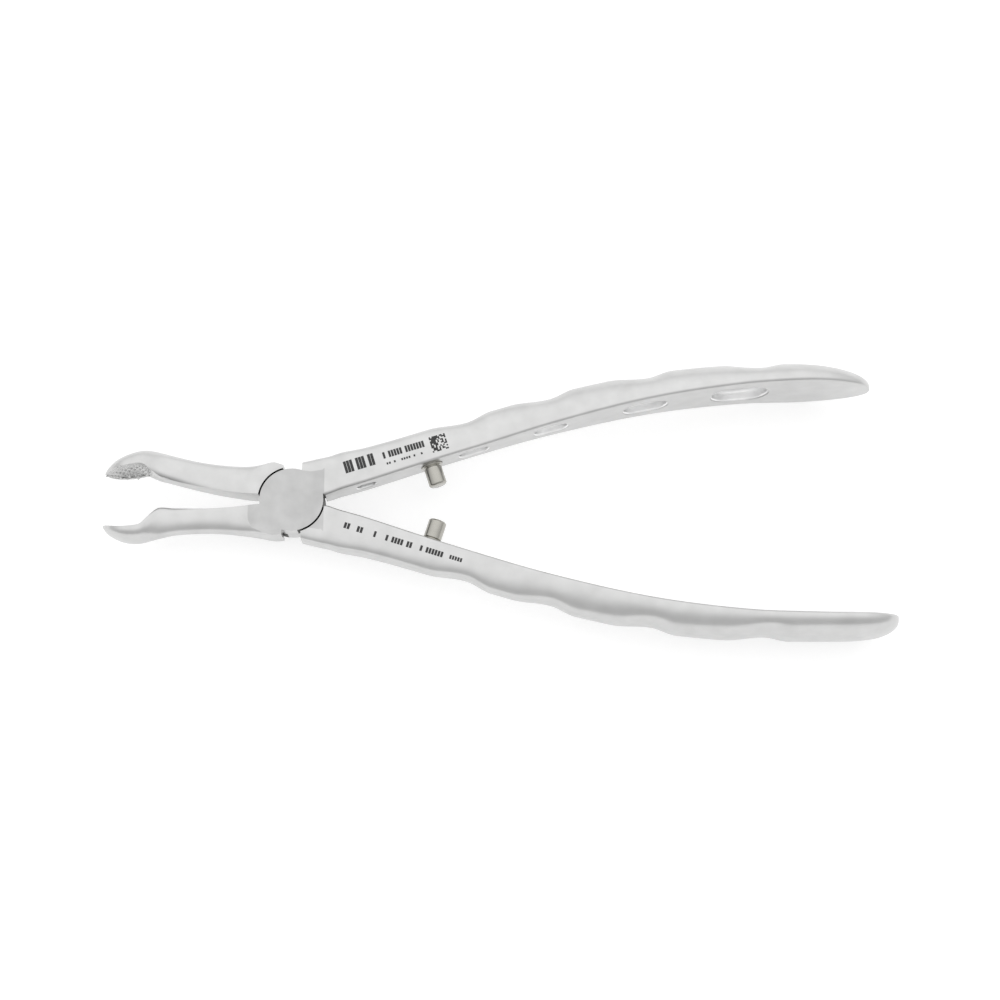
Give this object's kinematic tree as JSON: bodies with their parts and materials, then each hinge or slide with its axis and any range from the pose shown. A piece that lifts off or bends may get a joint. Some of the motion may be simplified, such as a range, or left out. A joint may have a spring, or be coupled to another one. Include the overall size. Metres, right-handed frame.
{
  "type": "dental extraction forceps",
  "caption": "Dental extraction forceps: pivoting steel levers with spoon beaks, scalloped handles with oval pockets, and posts that stop the beaks closing on each other.",
  "frame": {"origin": "on the pivot axis, in the ground rear face of the joint", "axes": "+X from the pivot towards the handles, +Y towards the front lever's handle, +Z along the pivot axis from the rear face to the front face"},
  "size_m": [0.1746, 0.0623, 0.0184],
  "materials": {
    "satin_steel": "satin ground stainless steel",
    "screw_steel": "turned stainless steel",
    "polished_steel": "polished stainless steel"
  },
  "bodies": {
    "rear_lever": {"rear_lever": "satin_steel", "rear_stop_post": "polished_steel", "rear_post_washer": "polished_steel"},
    "front_lever": {"front_lever": "satin_steel", "pivot_screw": "screw_steel", "front_stop_post": "polished_steel", "front_post_washer": "polished_steel"}
  },
  "joints": [
    {"name": "lever_pivot", "type": "hinge", "parent": "rear_lever", "child": "front_lever", "pos_m": [0, 0, 0], "axis": [0, 0, 1], "range_deg": [-12.5, 25]}
  ]
}
